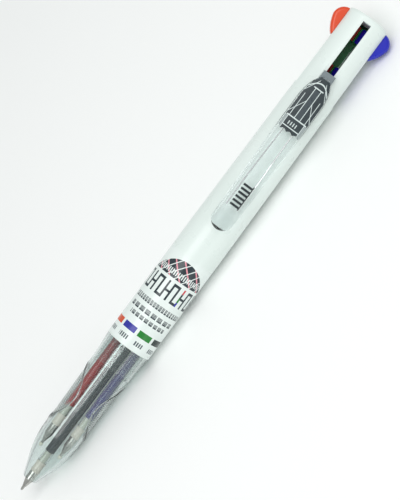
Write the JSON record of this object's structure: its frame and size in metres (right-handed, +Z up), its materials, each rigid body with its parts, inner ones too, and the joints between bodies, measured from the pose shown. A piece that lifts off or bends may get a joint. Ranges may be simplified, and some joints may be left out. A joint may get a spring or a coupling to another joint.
{
  "type": "multicolour click pen",
  "caption": "Slider-action multicolour gel pen with a white barrel, clear ribbed grip, sliding clip and separate refills in their own spring-loaded slides.",
  "frame": {"origin": "the writing point of the refill that is out, on the barrel's axis", "axes": "+X along the barrel from the writing point to the rear end; +Z up with the pen lying on its green and blue knobs, the clip at -Y and +Z"},
  "size_m": [0.1487, 0.0155, 0.0155],
  "materials": {
    "white_abs": "glossy moulded",
    "printed_film": "printed gloss film",
    "clear_polystyrene": "clear moulded",
    "clear_polycarbonate": "clear moulded",
    "clear_polypropylene": "translucent extruded",
    "stainless_steel": "turned",
    "spring_wire": "drawn wire",
    "protective_wax": "soft wax",
    "follower_grease": "clear grease",
    "red_abs": "glossy moulded",
    "blue_abs": "glossy moulded",
    "green_abs": "glossy moulded",
    "black_abs": "glossy moulded, smoke grey",
    "red_gel_ink": "gel ink",
    "blue_gel_ink": "gel ink",
    "green_gel_ink": "gel ink",
    "black_gel_ink": "gel ink"
  },
  "bodies": {
    "barrel": {"barrel": "white_abs", "end_plug": "white_abs", "spring_seat": "white_abs", "coupling_sleeve": "clear_polystyrene", "label_film": "printed_film", "black_spring": "spring_wire", "blue_spring": "spring_wire", "green_spring": "spring_wire", "red_spring": "spring_wire"},
    "grip": {"front_grip": "clear_polystyrene"},
    "black_slider": {"black_slider": "black_abs"},
    "black_refill": {"black_ball": "stainless_steel", "black_tip": "stainless_steel", "black_collar": "clear_polypropylene", "black_tube": "clear_polypropylene", "black_ink": "black_gel_ink", "black_follower": "follower_grease"},
    "blue_slider": {"blue_slider": "blue_abs"},
    "blue_refill": {"blue_ball": "stainless_steel", "blue_tip": "stainless_steel", "blue_collar": "clear_polypropylene", "blue_tube": "clear_polypropylene", "blue_ink": "blue_gel_ink", "blue_follower": "follower_grease", "blue_bead": "protective_wax"},
    "green_slider": {"green_slider": "green_abs"},
    "green_refill": {"green_ball": "stainless_steel", "green_tip": "stainless_steel", "green_collar": "clear_polypropylene", "green_tube": "clear_polypropylene", "green_ink": "green_gel_ink", "green_follower": "follower_grease"},
    "red_slider": {"red_slider": "red_abs"},
    "red_refill": {"red_ball": "stainless_steel", "red_tip": "stainless_steel", "red_collar": "clear_polypropylene", "red_tube": "clear_polypropylene", "red_ink": "red_gel_ink", "red_follower": "follower_grease", "red_bead": "protective_wax"},
    "clip": {"clip": "clear_polycarbonate"}
  },
  "joints": [
    {"name": "black_return", "type": "slide", "parent": "barrel", "child": "black_slider", "axis": [1, 0, 0], "range_m": [0, 0.0127], "deforming": ["black_spring"]},
    {"name": "black_refill_lean", "type": "hinge", "parent": "black_slider", "child": "black_refill", "pos_m": [0.08024, -0.00212, 0.00212], "axis": [0, -0.7071, -0.7071], "range_deg": [-2.16, 0]},
    {"name": "blue_slide", "type": "slide", "parent": "barrel", "child": "blue_slider", "axis": [-1, 0, 0], "range_m": [0, 0.002], "stiffness_N_per_m": 60, "springref_m": -0.004, "deforming": ["blue_spring"]},
    {"name": "blue_refill_lean", "type": "hinge", "parent": "blue_slider", "child": "blue_refill", "pos_m": [0.09294, -0.00212, -0.00212], "axis": [0, 0.7071, -0.7071], "range_deg": [0, 0.3405]},
    {"name": "green_slide", "type": "slide", "parent": "barrel", "child": "green_slider", "axis": [-1, 0, 0], "range_m": [0, 0.0127], "deforming": ["green_spring"]},
    {"name": "green_refill_lean", "type": "hinge", "parent": "green_slider", "child": "green_refill", "pos_m": [0.09294, 0.00212, -0.00212], "axis": [0, 0.7071, 0.7071], "range_deg": [0, 2.16]},
    {"name": "red_slide", "type": "slide", "parent": "barrel", "child": "red_slider", "axis": [-1, 0, 0], "range_m": [0, 0.002], "stiffness_N_per_m": 60, "springref_m": -0.004, "deforming": ["red_spring"]},
    {"name": "red_refill_lean", "type": "hinge", "parent": "red_slider", "child": "red_refill", "pos_m": [0.09294, 0.00212, 0.00212], "axis": [0, -0.7071, 0.7071], "range_deg": [0, 0.3405]},
    {"name": "clip_flex", "type": "hinge", "parent": "black_slider", "child": "clip", "pos_m": [0.1282, -0.00477, 0.00477], "axis": [0, 0.7071, 0.7071], "range_deg": [0, 3], "stiffness_Nm_per_rad": 1, "springref_deg": -0.57},
    {"name": "grip_pull_off", "type": "slide", "parent": "barrel", "child": "grip", "axis": [-1, 0, 0], "range_m": [0, 0.045]}
  ],
  "couplings": [
    {"joint": "black_return", "follows": "green_slide", "ratio": 1},
    {"joint": "black_refill_lean", "follows": "green_slide", "rad_per_m": -2.9424},
    {"joint": "blue_refill_lean", "follows": "blue_slide", "rad_per_m": 2.9424},
    {"joint": "green_refill_lean", "follows": "green_slide", "rad_per_m": 2.9424},
    {"joint": "red_refill_lean", "follows": "red_slide", "rad_per_m": 2.9424}
  ]
}
